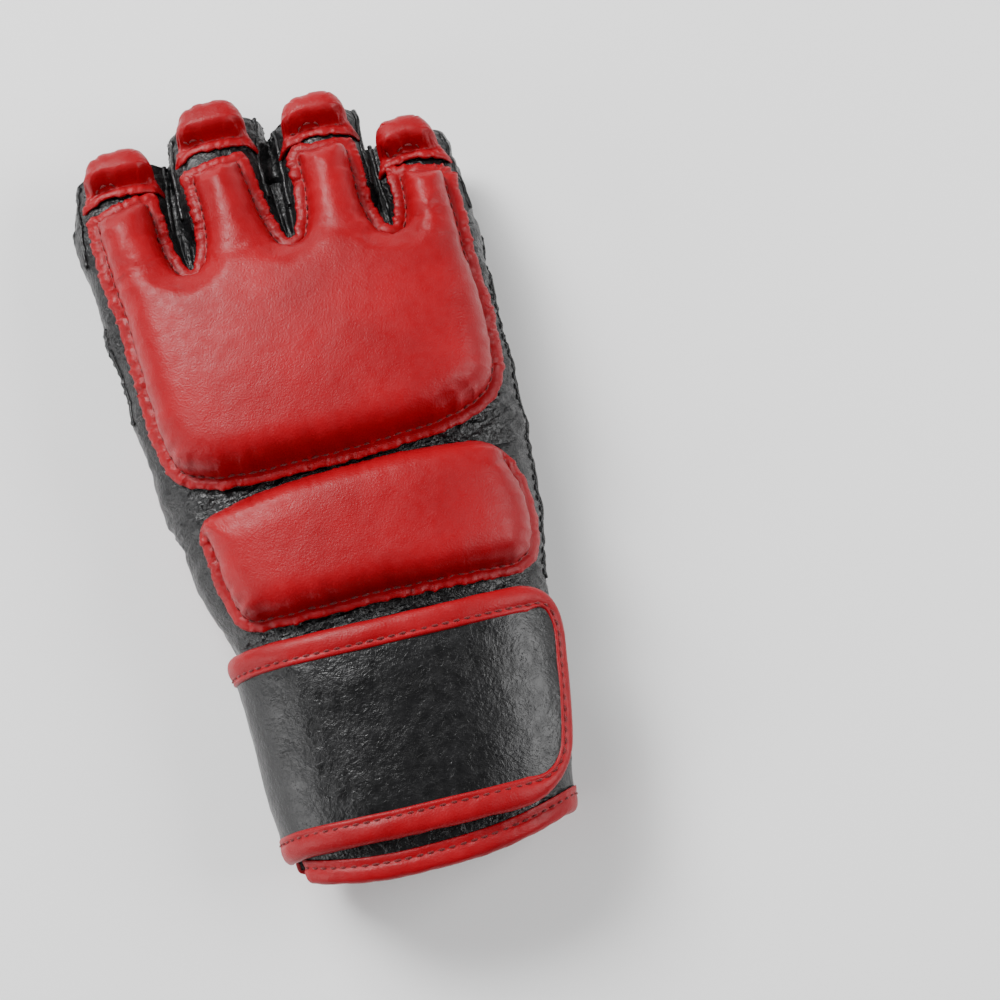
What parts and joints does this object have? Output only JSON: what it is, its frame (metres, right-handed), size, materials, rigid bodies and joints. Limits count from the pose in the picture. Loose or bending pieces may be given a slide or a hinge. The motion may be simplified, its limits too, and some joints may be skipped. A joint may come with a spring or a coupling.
{
  "type": "mma glove",
  "caption": "Open-finger grappling glove for the right hand: padded back and knuckles, folding finger ends, bare palm window, thumb opening and a wrap-over wrist strap.",
  "frame": {"origin": "on the resting surface, under the middle of the glove's bounding box", "axes": "+Y along the fingers, +Z out of the back of the hand, -X towards the thumb side"},
  "size_m": [0.123, 0.2524, 0.0583],
  "materials": {
    "red_leather": "satin smooth grain",
    "black_leather": "glossy pebbled grain",
    "foam": "closed-cell foam, hidden",
    "lining": "matt knitted lining",
    "hook_and_loop": "hook and loop tape"
  },
  "bodies": {
    "hand": {"knuckle_pad_cover": "red_leather", "knuckle_pad_foam": "foam", "wrist_pad_cover": "red_leather", "wrist_pad_foam": "foam", "back_shell": "black_leather", "hand_lining": "lining", "palm_panel": "black_leather", "heel_panel": "black_leather", "palm_opening_binding": "red_leather", "thumb_opening_binding": "red_leather", "wrist_gusset_back": "black_leather", "wrist_gusset_palm": "black_leather", "index_middle_fourchette": "black_leather", "middle_ring_fourchette": "black_leather", "ring_little_fourchette": "black_leather", "index_root_sleeve": "black_leather", "index_fold_gusset": "black_leather", "middle_root_sleeve": "black_leather", "middle_fold_gusset": "black_leather", "ring_root_sleeve": "black_leather", "ring_fold_gusset": "black_leather", "little_root_sleeve": "black_leather", "little_fold_gusset": "black_leather"},
    "cuff": {"cuff_back_panel": "black_leather", "cuff_palm_panel": "black_leather", "cuff_back_hem": "red_leather", "cuff_palm_hem": "red_leather", "loop_patch": "hook_and_loop", "strap_seam_strip": "black_leather"},
    "strap": {"strap_panel": "black_leather", "strap_upper_binding": "red_leather", "strap_lower_binding": "red_leather"},
    "strap_tip": {"strap_tip_panel": "black_leather", "strap_tip_binding": "red_leather", "hook_patch": "hook_and_loop"},
    "index": {"index_tip_sleeve": "black_leather", "index_pad_cover": "red_leather", "index_pad_foam": "foam"},
    "middle": {"middle_tip_sleeve": "black_leather", "middle_pad_cover": "red_leather", "middle_pad_foam": "foam"},
    "ring": {"ring_tip_sleeve": "black_leather", "ring_pad_cover": "red_leather", "ring_pad_foam": "foam"},
    "little": {"little_tip_sleeve": "black_leather", "little_pad_cover": "red_leather", "little_pad_foam": "foam"}
  },
  "joints": [
    {"name": "wrist_flex", "type": "hinge", "parent": "hand", "child": "cuff", "pos_m": [0.0015, -0.04864, 0.0225], "axis": [1, 0, 0], "range_deg": [-6, 38], "deforming": ["wrist_gusset_back", "wrist_gusset_palm"]},
    {"name": "strap_open", "type": "hinge", "parent": "cuff", "child": "strap", "pos_m": [-0.0477, -0.08314, 0.0222], "axis": [0.043, -0.9991, 0], "range_deg": [0, 140]},
    {"name": "strap_peel", "type": "hinge", "parent": "strap", "child": "strap_tip", "pos_m": [0.0075, -0.08314, 0.0519], "axis": [0, -1, 0], "range_deg": [0, 70]},
    {"name": "index_fold", "type": "hinge", "parent": "hand", "child": "index", "pos_m": [-0.0455, 0.09786, 0.0185], "axis": [-1, 0, 0], "range_deg": [0, 38], "deforming": ["index_fold_gusset"]},
    {"name": "middle_fold", "type": "hinge", "parent": "hand", "child": "middle", "pos_m": [-0.0135, 0.10486, 0.019], "axis": [-1, 0, 0], "range_deg": [0, 38], "deforming": ["middle_fold_gusset"]},
    {"name": "ring_fold", "type": "hinge", "parent": "hand", "child": "ring", "pos_m": [0.0195, 0.10086, 0.0188], "axis": [-1, 0, 0], "range_deg": [0, 38], "deforming": ["ring_fold_gusset"]},
    {"name": "little_fold", "type": "hinge", "parent": "hand", "child": "little", "pos_m": [0.0475, 0.08536, 0.021], "axis": [-1, 0, 0], "range_deg": [0, 38], "deforming": ["little_fold_gusset"]}
  ]
}
